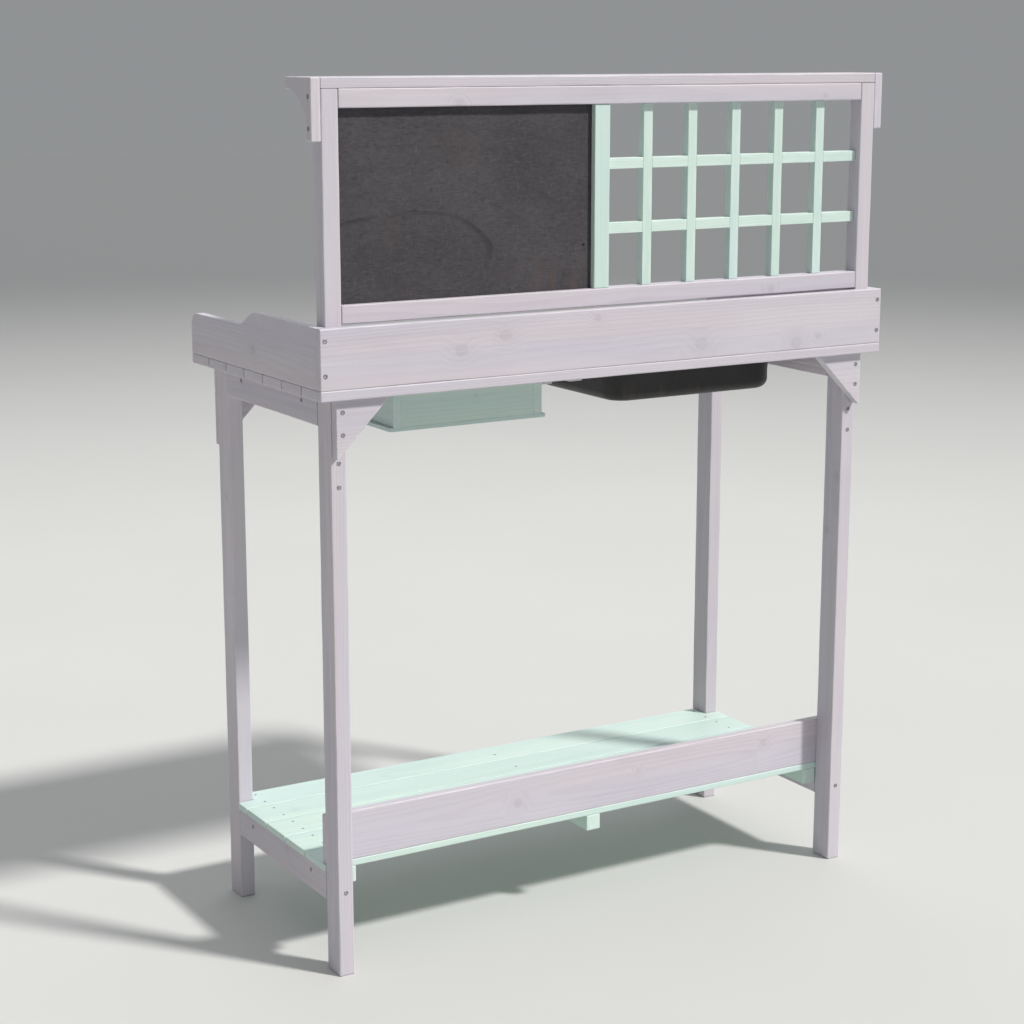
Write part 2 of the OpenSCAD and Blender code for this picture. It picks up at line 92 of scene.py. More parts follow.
class Piece:
    """A mesh that stands for one CAD node, with the attributes its material reads:
    grain is the place in the wood's own frame, along, across and through the grain;
    knot is the place from the nearest knot, and its radius; the wear value is 1 on rubbed edges,
    and negative on butted ends, where it paints shade into the joint; tone differs from board to
    board.
    paint is a material and the name of a slot, which is not used."""

    def __init__(self, node, paint):
        self.node = node
        self.material, self.slot = paint
        self.bm = bmesh.new()
        self.grain = self.bm.verts.layers.float_vector.new("grain")
        self.wear_and_shade = self.bm.verts.layers.float.new("wear_and_shade")
        self.tone = self.bm.verts.layers.float.new("tone")
        self.knot = self.bm.loops.layers.float_vector.new("knot")
        self.rng = random.Random(node)

    def vert(self, place, wear_and_shade=0.0):
        v = self.bm.verts.new(place)
        v[self.wear_and_shade] = wear_and_shade
        return v

    def bridge(self, low, high):
        """Joins two rings of vertices with quads."""
        ends = [(i, (i + 1) % len(low)) for i in range(len(low))]
        return [self.bm.faces.new((low[i], low[j], high[j], high[i])) for i, j in ends]

    def loft(self, rings):
        """Joins rings of vertices, lowest first, caps both ends, and returns the faces."""
        faces = [f for low, high in zip(rings, rings[1:]) for f in self.bridge(low, high)]
        faces.append(self.bm.faces.new(list(reversed(rings[0]))))
        faces.append(self.bm.faces.new(rings[-1]))
        return faces

    def grow_wood(self, verts, faces, centre, axes, knots, width):
        """Gives vertices their place in a plank sawn from a log. axes are the ones along,
        across and through the grain."""
        along, across, through = axes
        rng = self.rng
        start = rng.uniform(0, 40)
        pith_v = rng.uniform(-0.6, 0.6) * width
        pith_w = rng.uniform(0.018, 0.07) * rng.choice((-1, 1))
        tone = rng.random()
        for v in verts:
            d = v.co - centre
            v[self.grain] = (d[along] + start, d[across] - pith_v, d[through] - pith_w)
            v[self.tone] = tone
        for f in faces:
            us = [(v.co - centre)[along] for v in f.verts]
            vs = [(v.co - centre)[across] for v in f.verts]
            best, near = None, KNOT_REACH
            for u, w, r in knots:
                du = max(min(us) - u, 0, u - max(us))
                dv = max(min(vs) - w, 0, w - max(vs))
                # Where two knots reach into one face, the one nearer its middle counts
                mid = math.hypot(sum(us) / len(us) - u, sum(vs) / len(vs) - w)
                gap = math.hypot(du, dv) + mid * 0.01
                if gap < near:
                    best, near = (u, w, r), gap
            for loop in f.loops:
                if best is None:
                    loop[self.knot] = NO_KNOT
                else:
                    d = loop.vert.co - centre
                    loop[self.knot] = (d[along] - best[0], d[across] - best[1], best[2])

    def finish(self, body="bench", flatness=100):
        bmesh.ops.recalc_face_normals(self.bm, faces=self.bm.faces)
        mesh = bpy.data.meshes.new(self.node + "_look")
        self.bm.to_mesh(mesh)
        self.bm.free()
        mesh.materials.append(self.material)
        mesh.shade_smooth()
        piece = bpy.data.objects.new(self.node + "_look", mesh)
        bpy.context.scene.collection.objects.link(piece)
        flat = piece.modifiers.new("flat_faces", "WEIGHTED_NORMAL")
        flat.mode = "FACE_AREA"
        flat.weight = flatness
        flat.keep_sharp = True
        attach(piece, body)
        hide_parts(self.node)


# ---- Outlines ----

CORNER_STEPS = 4  # on each rounded corner or eased edge
SHARP = 20  # degrees: an outline that turns by more has a corner there


def around(count):
    return [FULL * k / count for k in range(count)]


def rounded(corners, inset, radius):
    """A closed outline moved in by inset, its sharp corners rounded. corners is a list of
    (a, b, sharp), anticlockwise. radius(i) is corner i's. Returns (place, wear) pairs."""
    count = len(corners)
    flat = [Vector(c[:2]) for c in corners]
    moved = []
    for i in range(count):
        into = (flat[i] - flat[i - 1]).normalized()
        away = (flat[(i + 1) % count] - flat[i]).normalized()
        normal = Vector((-into.y, into.x))
        middle = (normal + Vector((-away.y, away.x))).normalized()
        moved.append(flat[i] + middle * inset / max(0.35, middle.dot(normal)))
    result = []
    for i in range(count):
        if not corners[i][2]:
            result.append((moved[i], 0.0))
            continue
        before, here, after = moved[i - 1], moved[i], moved[(i + 1) % count]
        back, on = before - here, after - here
        half = back.angle(on) / 2
        # Two sharp corners share the edge between them
        share_back = 0.45 if corners[i - 1][2] else 0.9
        share_on = 0.45 if corners[(i + 1) % count][2] else 0.9
        reach = min(radius(i) / math.tan(half), share_back * back.length, share_on * on.length)
        r = reach * math.tan(half)
        back.normalize()
        on.normalize()
        centre = here + (back + on).normalized() * (r / math.sin(half))
        start = (here + back * reach - centre).normalized()
        end = (here + on * reach - centre).normalized()
        for k in range(CORNER_STEPS + 1):
            s = k / CORNER_STEPS
            result.append((centre + start.slerp(end, s) * r, 0.6 + 0.4 * math.sin(math.pi * s)))
    return result


def marked(points):
    """Marks the sharp corners of an outline and makes it anticlockwise."""
    area = sum(a[0] * b[1] - b[0] * a[1] for a, b in zip(points, points[1:] + points[:1]))
    if area < 0:
        points = points[::-1]
    result = []
    for i, p in enumerate(points):
        a = Vector(p) - Vector(points[i - 1])
        b = Vector(points[(i + 1) % len(points)]) - Vector(p)
        result.append((p[0], p[1], math.degrees(a.angle(b)) > SHARP))
    return result


def eased_rings(ring, low, high, cap, ease, wear_and_shade, between):
    """Rings from one end to the other: a flat cap, an eased edge, those between, and the same
    again. ring(place, inset, wear) makes one, and wear(a) is the wear at angle a of the edge."""
    turns = [QUARTER * k / CORNER_STEPS for k in range(CORNER_STEPS + 1)]
    edge = [(ease * (1 - math.cos(a)), ease * (1 - math.sin(a)), wear_and_shade(a)) for a in turns]
    rings = [ring(low, cap)]
    rings += [ring(low + rise, inset, rub) for rise, inset, rub in edge]
    rings += [ring(place, 0.0) for place in between]
    rings += [ring(high - rise, inset, rub) for rise, inset, rub in reversed(edge)]
    return rings + [ring(high, cap)]


# ---- Boards ----

KNOTS_PER_METRE = 0.9
KNOT_TRIES = 40
DENT_PITCH = 0.22  # along a board, on average
STATION_PITCH = 0.045  # between the rings of a long board


def random_knots(rng, length, width):
    """Knots at random along a board, as (along, across, radius) from its middle."""
    found = []
    for _ in range(KNOT_TRIES):
        if rng.random() < KNOTS_PER_METRE * length / KNOT_TRIES:
            u = rng.uniform(-0.46, 0.46) * length
            if all(abs(u - k[0]) > 0.09 for k in found):
                found.append((u, rng.uniform(-0.42, 0.42) * width, rng.uniform(0.0025, 0.0055)))
    return found


def board(piece, low, high, along, knots=None, radius=2.0 * MM, butted=False):
    """A straight board with eased, slightly uneven edges and a few small dents in them.
    Ends that are butted against another board get painted shade in the joint instead of rubbed
    edges."""
    rng = piece.rng
    size = high - low
    wide, thin = sorted([k for k in range(3) if k != along], key=lambda k: -size[k])
    shift = rng.uniform(0, 100)
    dents = []
    for _ in range(int(size[along] / DENT_PITCH + rng.random())):
        dents.append((rng.uniform(low[along], high[along]), rng.randrange(4),
                      rng.uniform(0.4, 1.3) * MM, rng.uniform(1.5, 5) * MM))

    # The cross-section has a sharp corner at every third point, and supports beside it
    s = min(5 * MM, 0.3 * size[wide])
    t = min(5 * MM, 0.3 * size[thin])
    a0, a1, b0, b1 = low[wide], high[wide], low[thin], high[thin]
    corners = [(a0, b0, True), (a0 + s, b0, False), (a1 - s, b0, False), (a1, b0, True),
               (a1, b0 + t, False), (a1, b1 - t, False), (a1, b1, True), (a1 - s, b1, False),
               (a0 + s, b1, False), (a0, b1, True), (a0, b1 - t, False), (a0, b0 + t, False)]

    def ring(c, inset, end=0.0):
        def corner_radius(i):
            edge = i // 3
            r = radius * (0.95 + 0.55 * noise.noise(Vector((c * 14, edge * 5.3, shift))))
            for place, corner, depth, reach in dents:
                if corner == edge:
                    r += depth * math.exp(-((c - place) / reach) ** 2)
            return max(r - inset, 0.25 * MM)
        made = []
        for p, wear_and_shade in rounded(corners, inset, corner_radius):
            place = Vector((0, 0, 0))
            place[wide], place[thin], place[along] = p.x, p.y, c
            # On a butted end the value goes negative, which paints shade into the joint
            made.append(piece.vert(place, -end if butted and end else max(wear_and_shade, end)))
        return made

    ease = radius * 0.85
    cap = min(ease + 2.5 * MM, 0.8 * s, 0.8 * t)
    first, last = low[along] + ease + s, high[along] - ease - s
    count = max(1, round((last - first) / STATION_PITCH))
    stations = [first + (last - first) * i / count for i in range(count + 1)]
    for place, _, _, reach in dents:
        for k in (-2, -1, -0.4, 0.4, 1, 2):
            c = place + k * reach
            if first < c < stations[-1]:
                stations.append(c)
    stations = sorted(set(round(c, 5) for c in stations))
    rings = eased_rings(ring, low[along], high[along], cap, ease, lambda a: 1 - 0.5 * a, stations)
    faces = piece.loft(rings)
    if knots is None:
        knots = random_knots(rng, size[along], size[wide])
    piece.grow_wood(sum(rings, []), faces, (low + high) / 2, (along, wide, thin), knots, size[wide])


def slab(piece, points, axes, low, high, along, knots=(), radius=1.8 * MM, cap=4 * MM):
    """A flat piece cut to an outline and eased round it. axes are the outline's two axes and
    the one through it; low and high are its faces; along is the grain's axis."""
    corners = marked(points)
    wide = axes[1] if along == axes[0] else axes[0]
    shift = piece.rng.uniform(0, 100)

    def ring(c, inset, rim=0.0):
        def corner_radius(i):
            a, b = corners[i][0], corners[i][1]
            r = radius * (1.1 + 0.5 * noise.noise(Vector((a * 60, b * 60, shift))))
            return max(r - inset, 0.2 * MM)
        made = []
        for p, wear_and_shade in rounded(corners, inset, corner_radius):
            place = Vector((0, 0, 0))
            place[axes[0]], place[axes[1]], place[axes[2]] = p.x, p.y, c
            made.append(piece.vert(place, rim if inset > radius else max(wear_and_shade, rim)))
        return made

    between = [low + (high - low) * share for share in (0.35, 0.65)]
    rings = eased_rings(ring, low, high, radius + cap, radius, lambda a: 0.9, between)
    faces = piece.loft(rings)
    verts = sum(rings, [])
    ends = [(min(v.co[k] for v in verts), max(v.co[k] for v in verts)) for k in range(3)]
    centre = Vector([(a + b) / 2 for a, b in ends])
    width = ends[wide][1] - ends[wide][0]
    piece.grow_wood(verts, faces, centre, (along, wide, axes[2]), knots, width)


# ---- Materials ----

class Shader:
    """A short way to write a material's nodes."""

    def __init__(self, name):
        self.material = bpy.data.materials.new(name)
        self.material.use_nodes = True
        self.tree = self.material.node_tree
        self.tree.nodes.clear()
        output = self.tree.nodes.new("ShaderNodeOutputMaterial")
        self.surface = self.tree.nodes.new("ShaderNodeBsdfPrincipled")
        self.tree.links.new(self.surface.outputs["BSDF"], output.inputs["Surface"])

    def put(self, socket, value):
        if isinstance(value, bpy.types.NodeSocket):
            self.tree.links.new(value, socket)
        else:
            socket.default_value = value

    def finish(self, **inputs):
        """Sets the surface's inputs, named with _ for a space, and returns the material."""
        for name, value in inputs.items():
            self.put(self.surface.inputs[name.replace("_", " ")], value)
        return self.material

    def node(self, kind, inputs, **settings):
        made = self.tree.nodes.new(kind)
        for name, value in settings.items():
            setattr(made, name, value)
        for name, value in inputs.items():
            self.put(made.inputs[name], value)
        return made

    def attribute(self, name, kind="Vector"):
        return self.node("ShaderNodeAttribute", {}, attribute_name=name).outputs[kind]

    def place(self):
        return self.node("ShaderNodeTexCoord", {}).outputs["Object"]

    def math(self, operation, a, b=0.0):
        return self.node("ShaderNodeMath", {0: a, 1: b}, operation=operation).outputs[0]

    def times(self, a, b):
        return self.math("MULTIPLY", a, b)

    def plus(self, a, b):
        return self.math("ADD", a, b)

    def minus(self, a, b):
        return self.math("SUBTRACT", a, b)

    def over(self, a, b):
        return self.math("DIVIDE", a, b)

    def spread(self, value, width):
        """Turns a value of 0 to 1 into one that spreads over width, with 0 in its middle."""
        return self.times(self.minus(value, 0.5), width)

    def vector(self, operation, a, b=None):
        inputs = {0: a} if b is None else {0: a, 1: b}
        return self.node("ShaderNodeVectorMath", inputs, operation=operation).outputs

    def noise(self, vector, scale, detail=2.0, roughness=0.5):
        """Noise with a scale of its own along each axis, from 0 to 1."""
        scaled = self.vector("MULTIPLY", vector, scale)[0]
        return self.node("ShaderNodeTexNoise", {"Vector": scaled, "Scale": 1.0, "Detail": detail,
                                                "Roughness": roughness}).outputs[0]

    def step(self, value, low, high, start=0.0, end=1.0):
        """Smoothly from start, where value is low, to end, where it is high."""
        return self.node("ShaderNodeMapRange", {"Value": value, "From Min": low, "From Max": high,
                                                "To Min": start, "To Max": end},
                         interpolation_type="SMOOTHSTEP").outputs[0]

    def mix(self, factor, a, b):
        return self.node("ShaderNodeMix", {0: factor, 6: a, 7: b}, data_type="RGBA").outputs[2]

    def coats(self, colour, *layers):
        """Lays thin coats over a colour. Each layer is (mask, strength, paint)."""
        for mask, strength, paint in layers:
            colour = self.mix(self.times(mask, strength), colour, paint)
        return colour

    def split(self, vector):
        return self.node("ShaderNodeSeparateXYZ", {0: vector}).outputs

    def join(self, x, y, z):
        return self.node("ShaderNodeCombineXYZ", {0: x, 1: y, 2: z}).outputs[0]

    def length(self, vector):
        return self.vector("LENGTH", vector)["Value"]

    def bump(self, height, strength, distance):
        return self.node("ShaderNodeBump", {"Height": height, "Strength": strength,
                                            "Distance": distance}).outputs[0]


def rgb(red, green, blue):
    """A colour from sRGB values of 0 to 255."""
    def linear(c):
        c /= 255
        return c / 12.92 if c <= 0.04045 else ((c + 0.055) / 1.055) ** 2.4
    return (linear(red), linear(green), linear(blue), 1.0)


def painted_wood(name, base, cool, deep, pale, knot, crevice_shade):
    """Planed softwood under thin paint: rings, fibres, knots and rubbed edges show through, and
    butted ends get painted shade.
    """
    s = Shader(name)
    grain = s.attribute("grain")
    tone = s.attribute("tone", "Fac")
    wear_and_shade = s.attribute("wear_and_shade", "Fac")
    _, across, through = s.split(grain)
    from_u, from_v, knot_r = s.split(s.attribute("knot"))

    # Distance from the nearest knot in knot radii, with an uneven outline
    ragged = s.noise(grain, (110, 130, 130), 2.0)
    knot_d = s.over(s.length(s.join(s.times(from_u, 0.8), from_v, 0.0)), knot_r)
    knot_d = s.plus(knot_d, s.spread(ragged, 0.7))
    in_knot = s.step(knot_d, 1.35, 0.45)
    near_knot = s.step(knot_d, 4.5, 0.8)
    rim = s.times(s.step(knot_d, 1.35, 1.0), s.step(knot_d, 0.6, 0.95))
    year = s.math("ABSOLUTE", s.minus(s.math("FRACT", s.times(knot_d, 3.5)), 0.5))
    year = s.times(s.step(knot_d, 1.1, 0.8), s.step(year, 0.30, 0.12))

    # Growth rings 3.9 mm apart about the pith, which wander along the board and bend round knots
    radial = s.length(s.join(0.0, across, through))
    radial = s.plus(radial, s.spread(s.noise(grain, (1.1, 6, 6), 2.0), 0.03))
    radial = s.plus(radial, s.spread(s.noise(grain, (7, 45, 45), 2.0), 0.0022))
    radial = s.plus(radial, s.times(near_knot, 0.006))
    ring = s.math("FRACT", s.over(radial, 0.0039))
    late = s.times(s.step(ring, 0.30, 0.88), s.step(ring, 1.0, 0.90))

    fibre = s.noise(grain, (16, 950, 950), 3.0, 0.6)
    streak = s.noise(grain, (2.2, 120, 120), 3.0, 0.55)
    cloud = s.noise(grain, (3.5, 14, 14), 3.0, 0.6)
    tint = s.noise(grain, (1.2, 22, 22), 1.0)
    shown = s.step(s.noise(grain, (0.9, 5, 5), 1.0), 0.30, 0.66, 0.25, 1.0)
    patchy = s.noise(grain, (30, 160, 160), 3.0)
    rubbed = s.times(s.step(wear_and_shade, 0.45, 1.0), s.step(patchy, 0.36, 0.62))

    colour = s.coats(s.mix(s.step(tint, 0.35, 0.68), base, cool),
                     (s.times(late, shown), 0.17, deep),
                     (s.step(streak, 0.52, 0.78), 0.20, deep),
                     (s.step(streak, 0.46, 0.22), 0.26, pale),
                     (s.step(fibre, 0.55, 0.78), 0.18, deep),
                     (s.step(cloud, 0.40, 0.75), 0.24, pale),
                     (s.step(cloud, 0.38, 0.22), 0.16, deep),
                     (tone, 0.14, deep),
                     (near_knot, 0.09, deep),
                     (in_knot, 0.10, knot),
                     (s.plus(rim, year), 0.07, knot),
                     (rubbed, 0.45, pale),
                     # Painted shade: butted ends darkened towards the joint
                     (s.step(wear_and_shade, -0.1, -0.9), 0.60, crevice_shade))
    rough = s.plus(s.plus(0.46, s.spread(streak, 0.22)), s.times(fibre, 0.10))
    height = s.plus(s.times(late, 0.55), s.times(fibre, 0.60))
    height = s.minus(s.plus(height, s.times(streak, 0.5)), s.times(rim, 0.5))
    return s.finish(Base_Color=colour, Roughness=rough, Specular_IOR_Level=0.45,
                    Normal=s.bump(height, 0.32, 0.0005))


def chalkboard_paint():
    """Matt black on plywood: the veneer's figure, fine broken grain, chalk dust and pits."""
    s = Shader("chalkboard_black")
    place = s.place()
    side, _, up = s.split(place)
    wear_and_shade = s.attribute("wear_and_shade", "Fac")
    base, deep, pale, brown = rgb(68, 66, 70), rgb(40, 38, 42), rgb(98, 95, 99), rgb(88, 73, 71)

    # Oval figure lines, 2.5 times as wide as they are tall, that fade below their middle
    wave = s.noise(place, (11, 11, 15), 3.0)
    oval = s.length(s.join(s.over(s.minus(side, 0.355), 2.5), 0.0, s.minus(up, 1.047)))
    oval = s.plus(oval, s.spread(wave, 0.014))
    ring = s.math("FRACT", s.over(oval, 0.0305))
    main = s.times(s.step(oval, 0.046, 0.052), s.step(oval, 0.072, 0.062))
    line = s.times(s.step(ring, 0.72, 0.95), s.step(ring, 1.0, 0.96))
    line = s.times(line, s.plus(s.times(main, 0.7), 0.3))
    line = s.times(line, s.step(up, 1.012, 1.055))
    line = s.times(line, s.step(s.noise(place, (10, 10, 10), 1.0), 0.34, 0.60))

    fibre = s.noise(place, (70, 800, 900), 3.0, 0.65)
    broken = s.noise(place, (130, 260, 420), 3.0, 0.65)
    weave = s.noise(place, (520, 300, 60), 2.0, 0.6)
    mottle = s.noise(place, (110, 150, 210), 3.0, 0.75)
    dust = s.noise(place, (8, 8, 11), 4.0, 0.62)
    smear = s.noise(place, (60, 12, 12), 3.0, 0.6)
    warm = s.noise(place, (12, 12, 12), 2.0)
    low_corner = s.times(s.step(side, 0.23, 0.13), s.step(up, 1.05, 0.99))
    rubbed = s.times(low_corner, s.step(smear, 0.44, 0.66))
    from_u, from_v, pit_r = s.split(s.attribute("knot"))
    pit = s.step(s.over(s.length(s.join(from_u, from_v, 0.0)), pit_r), 1.1, 0.6)

    colour = s.coats(base,
                     (s.step(dust, 0.42, 0.70), 0.28, pale),
                     (s.step(dust, 0.45, 0.28), 0.22, deep),
                     (s.step(mottle, 0.50, 0.75), 0.38, pale),
                     (s.step(mottle, 0.48, 0.28), 0.38, deep),
                     (s.step(fibre, 0.50, 0.70), 0.50, deep),
                     (s.step(broken, 0.56, 0.78), 0.48, deep),
                     (s.step(broken, 0.40, 0.24), 0.34, pale),
                     (s.step(weave, 0.58, 0.78), 0.42, pale),
                     (line, 0.52, deep),
                     (rubbed, 0.55, brown),
                     (s.step(warm, 0.55, 0.78), 0.22, brown),
                     # Painted shade: the pits near black
                     (pit, 0.85, rgb(18, 17, 19)),
                     (wear_and_shade, 0.30, deep))
    height = s.plus(s.times(fibre, 0.6), s.times(broken, 0.7))
    height = s.minus(height, s.times(pit, 2.0))
    return s.finish(Base_Color=colour, Roughness=s.plus(0.62, s.times(dust, 0.28)),
                    Specular_IOR_Level=0.30, Normal=s.bump(height, 0.40, 0.0004))


def moulded_plastic():
    """Black moulded plastic with a fine spark texture, scuffs and a little dry soil."""
    s = Shader("basin_black")
    place = s.place()
    _, _, up = s.split(place)
    spark = s.noise(place, (1500, 1500, 1500), 2.0, 0.6)
    scuff = s.noise(place, (40, 40, 12), 4.0, 0.7)
    cloud = s.noise(place, (9, 9, 14), 3.0, 0.55)
    soil = s.times(s.step(up, 0.84, 0.795), s.step(scuff, 0.46, 0.70))
    colour = s.coats(rgb(26, 26, 28),
                     (s.step(cloud, 0.40, 0.72), 0.5, rgb(40, 40, 42)),
                     (s.step(scuff, 0.62, 0.80), 0.30, rgb(72, 72, 74)),
                     (soil, 0.45, rgb(74, 62, 50)))
    height = s.plus(spark, s.times(scuff, 0.4))
    return s.finish(Base_Color=colour, Roughness=s.plus(0.36, s.times(scuff, 0.26)),
                    Specular_IOR_Level=0.45, Normal=s.bump(height, 0.18, 0.0004))


def plated_steel():
    """Dull zinc plating with darker blotches, and soiling plus painted shade down in the recesses.
    """
    s = Shader("fastener_zinc")
    place = s.place()
    # Soiling plus painted shade: darker and not metallic in the recess and where the head meets the
    # wood
    crevice_shade = s.attribute("wear_and_shade", "Fac")
    blotch = s.noise(place, (420, 420, 420), 3.0, 0.6)
    turned = s.noise(place, (2500, 2500, 2500), 1.0)
    colour = s.mix(s.step(blotch, 0.40, 0.68), rgb(168, 168, 174), rgb(118, 116, 120))
    colour = s.coats(colour, (crevice_shade, 0.9, rgb(26, 24, 25)))
    rough = s.plus(s.plus(0.36, s.times(blotch, 0.28)), s.times(crevice_shade, 0.3))
    return s.finish(Base_Color=colour, Metallic=s.times(s.minus(1.0, crevice_shade), 0.85),
                    Roughness=rough, Normal=s.bump(turned, 0.12, 0.0002))


# Each paint's last colour is painted shade for the joints at butted ends
LILAC = painted_wood("lilac_paint", base=rgb(206, 199, 206), cool=rgb(201, 197, 208),
                     deep=rgb(170, 161, 169), pale=rgb(222, 217, 222),
                     knot=rgb(132, 120, 128), crevice_shade=rgb(84, 78, 84)), "lilac_wood"
MINT = painted_wood("mint_paint", base=rgb(208, 228, 219), cool=rgb(203, 225, 220),
                    deep=rgb(174, 200, 189), pale=rgb(228, 242, 235),
                    knot=rgb(143, 170, 158), crevice_shade=rgb(82, 98, 92)), "mint_wood"
SLATE = chalkboard_paint(), "chalkboard"
PLASTIC = moulded_plastic(), "basin_plastic"
ZINC = plated_steel(), "fastener_steel"


# ---- Straight boards ----

def timber(node, along, paint=LILAC, body="bench", knots=None, **kind):
    """Replaces a CAD node made of plain blocks with eased boards."""
    piece = Piece(node, paint)
    for low, high, _ in solids(node):
        board(piece, low, high, along, knots, **kind)
    piece.finish(body)


def from_middle(node, places):
    """Knots given as (x, z, radius) in millimetres on a board along X that stands on edge."""
    low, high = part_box(node)
    x, z = (low.x + high.x) / 2, (low.z + high.z) / 2
    return [(a * MM - x, b * MM - z, r * MM) for a, b, r in places]


for name in ("leg_front_left", "leg_front_right", "leg_back_left", "leg_back_right",
             "post_left", "post_right"):
    timber(name, Z, butted=True)
for name in ("upper_rail_left", "upper_rail_right", "lower_rail_left", "lower_rail_right"):
    timber(name, Y, butted=True)
timber("worktop_cleats", Y)
for name in ("hutch_top_rail", "hutch_bottom_rail"):
    timber(name, X, butted=True)
for name in ("front_apron_left", "front_apron_right", "top_shelf", "worktop_stubs"):
    timber(name, X)
for i in range(1, 8):
    timber(f"worktop_board_{i}", X)
timber("shelf_cleats", Y, MINT)
timber("lattice_divider", Z, MINT, butted=True, radius=1.2 * MM)
for i in range(2, 6):
    timber(f"shelf_slat_{i}", X, MINT, radius=1.3 * MM)
timber("back_board", X, knots=from_middle("back_board", (
    (272, 911, 7), (199, 928, 7), (43, 943, 4), (-143, 892, 8), (-324, 881, 8), (-367, 889, 4))))
timber("guard_board", X, knots=from_middle("guard_board", (
    (139, 194, 6), (-332, 212.5, 5), (-346, 219, 4), (-328.5, 176, 4), (-84, 207, 3))))


# ---- Shaped boards ----

def side_board(node):
    """The tray's side, low at the front, with an S-shaped step up towards the hutch."""
    step_count, corner_count = 28, 14
    low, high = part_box(node)
    cad = cad_points(node)
    front_z = max(c.z for c in cad if c.y < low.y + 0.1)
    top = [(c.y, c.z) for c in cad if c.z > front_z - NEAR]
    low_top = [y for y, z in top if z < front_z + NEAR]
    step_y0, step_y1 = max(low_top), min(y for y, z in top if z > high.z - NEAR)
    corner = min(low_top) - low.y
    points = [(low.y, low.z), (high.y, low.z), (high.y, high.z)]
    for i in range(step_count, -1, -1):
        t = i / step_count
        points.append((step_y0 + (step_y1 - step_y0) * t,
                       front_z + (high.z - front_z) * (1 - math.cos(math.pi * t)) / 2))
    for i in range(corner_count + 1):
        a = QUARTER * (1 + i / corner_count)
        points.append((low.y + corner + corner * math.cos(a),
                       front_z - corner + corner * math.sin(a)))
    piece = Piece(node, LILAC)
    knot = (piece.rng.uniform(-0.15, 0.15), -0.01, 0.006)
    slab(piece, points, (Y, Z, X), low.x, high.x, Y, [knot])
    piece.finish()


def bracket(node):
    """A coved bracket: a nose under the shelf's front edge that sweeps down to a narrow foot."""
    cove_count = 24
    low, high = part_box(node)
    cad = cad_points(node)
    foot_y = min(c.y for c in cad if c.z < low.z + NEAR)
    cove_z0 = max(c.z for c in cad if abs(c.y - foot_y) < NEAR)
    cove_z1 = min(c.z for c in cad if c.y < low.y + NEAR)
    points = [(foot_y, low.z), (high.y, low.z), (high.y, high.z), (low.y, high.z)]
    for i in range(cove_count, -1, -1):
        a = QUARTER * i / cove_count
        points.append((low.y + (foot_y - low.y) * math.cos(a),
                       cove_z0 + (cove_z1 - cove_z0) * math.sin(a)))
    piece = Piece(node, LILAC)
    slab(piece, points, (Y, Z, X), low.x, high.x, Z, cap=3 * MM)
    piece.finish()


def gussets(node):
    """Right-angled corner gussets, with the square corner at the leg's outer edge."""
    piece = Piece(node, LILAC)
    for low, high, _ in solids(node):
        outer, inner = (high.x, low.x) if low.x > 0 else (low.x, high.x)
        points = [(outer, high.z), (inner, high.z), (outer, low.z)]
        slab(piece, points, (X, Z, Y), low.y, high.y, X)
    piece.finish()


def notched_slat(node):
    """The front slat, cut round the front legs."""
    low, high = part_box(node)
    cad = cad_points(node)
    notch_x = max(c.x for c in cad if c.y < low.y + NEAR)
    notch_y = min(c.y for c in cad if c.x > high.x - NEAR)
    points = [(-notch_x, low.y), (notch_x, low.y), (notch_x, notch_y), (high.x, notch_y),
              (high.x, high.y), (low.x, high.y), (low.x, notch_y), (-notch_x, notch_y)]
    piece = Piece(node, MINT)
    slab(piece, points, (X, Y, Z), low.z, high.z, X, [(0.21, 0.01, 0.005)], radius=1.2 * MM)
    piece.finish()


def lattice_strip(node, along, through):
    """A lattice strip with half its depth cut away where the others cross it: uprights from
    the front, bars from the back."""
    low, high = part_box(node)
    middle = (low.y + high.y) / 2
    on_middle = [c for c in cad_points(node) if abs(c.y - middle) < 10 * NEAR]
    cuts = sorted(set(round(c[along], 5) for c in on_middle))
    cut_y, whole_y = (low.y, high.y) if along == Z else (high.y, low.y)
    edge = [(low[along], cut_y)]
    for a, b in zip(cuts[::2], cuts[1::2]):
        edge += [(a, cut_y), (a, middle), (b, middle), (b, cut_y)]
    edge += [(high[along], cut_y), (high[along], whole_y), (low[along], whole_y)]
    piece = Piece(node, MINT)
    slab(piece, edge, (along, Y, through), low[through], high[through], along,
         radius=0.9 * MM, cap=1.6 * MM)
    piece.finish()


for side in ("left", "right"):
    side_board(f"side_board_{side}")
    bracket(f"bracket_{side}")
gussets("front_gussets")
gussets("back_gussets")
notched_slat("shelf_slat_1")
for i in range(1, 6):
    lattice_strip(f"lattice_upright_{i}", Z, X)
lattice_strip("lattice_bar_lower", X, Z)
lattice_strip("lattice_bar_upper", X, Z)

# The chalkboard is a thin panel with a few pits, given as (x, z, radius)
low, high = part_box("chalkboard")
centre = (low + high) / 2
pits = ((0.0525, 1.048, 0.0028), (0.078, 0.990, 0.0020), (0.291, 1.038, 0.0014),
        (0.40, 1.18, 0.0012))
piece = Piece("chalkboard", SLATE)
board(piece, low, high, X, [(x - centre.x, z - centre.z, r) for x, z, r in pits],
      radius=0.5 * MM)
piece.finish()


# ---- Drawer ----

